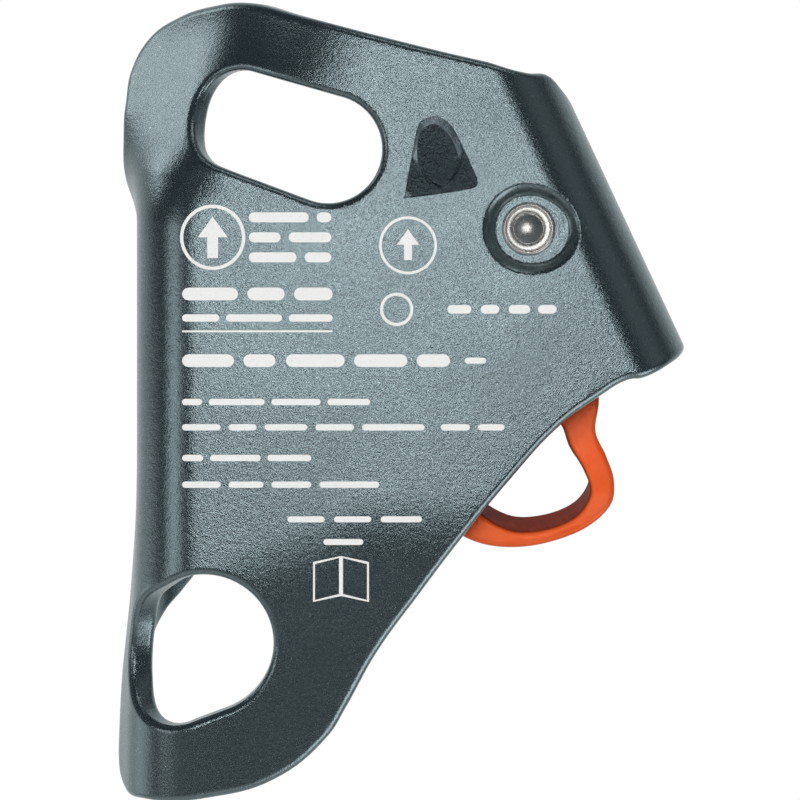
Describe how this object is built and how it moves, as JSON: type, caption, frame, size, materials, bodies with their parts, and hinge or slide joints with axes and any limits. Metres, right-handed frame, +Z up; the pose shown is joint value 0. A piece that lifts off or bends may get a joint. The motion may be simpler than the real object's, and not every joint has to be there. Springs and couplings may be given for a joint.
{
  "type": "ascender",
  "caption": "Chest ascender for rope climbing: a bent plate frame with a rope channel, two attachment eyes, a sprung toothed cam and a finger-ring trigger.",
  "frame": {"origin": "on the flat back face of the frame plate, halfway up, over the middle of the plate between the two folds", "axes": "+Z up along the rope channel, +Y from the back face towards the open front with the cam, +X towards the cam's axle"},
  "size_m": [0.0855, 0.0231, 0.1204],
  "materials": {
    "anodised_frame": "teal-grey satin anodised, fine blasted grain",
    "anodised_orange": "orange anodised, satin",
    "chromed_steel": "satin chrome on forged steel",
    "rivet_steel": "turned stainless steel",
    "spring_steel": "drawn wire",
    "white_print": "pad print, matt",
    "bronze": "sintered, dull"
  },
  "bodies": {
    "frame": {"frame": "anodised_frame", "cam_rivet": "rivet_steel", "back_washer": "rivet_steel", "front_washer": "rivet_steel", "cam_spring": "spring_steel"},
    "cam": {"cam": "chromed_steel", "cam_bush": "bronze", "trigger_pin": "rivet_steel"},
    "trigger": {"trigger": "anodised_orange", "trigger_spring": "spring_steel"}
  },
  "joints": [
    {"name": "cam_hinge", "type": "hinge", "parent": "frame", "child": "cam", "pos_m": [0.0268, 0, 0.0257], "axis": [0, -1, 0], "range_deg": [0, 22], "stiffness_Nm_per_rad": 0.25, "springref_deg": -22.92, "deforming": ["cam_spring"]},
    {"name": "trigger_hinge", "type": "hinge", "parent": "cam", "child": "trigger", "pos_m": [0.028, 0, 0.005], "axis": [0, -1, 0], "range_deg": [-10, 0], "stiffness_Nm_per_rad": 0.03, "springref_deg": 20.05}
  ]
}
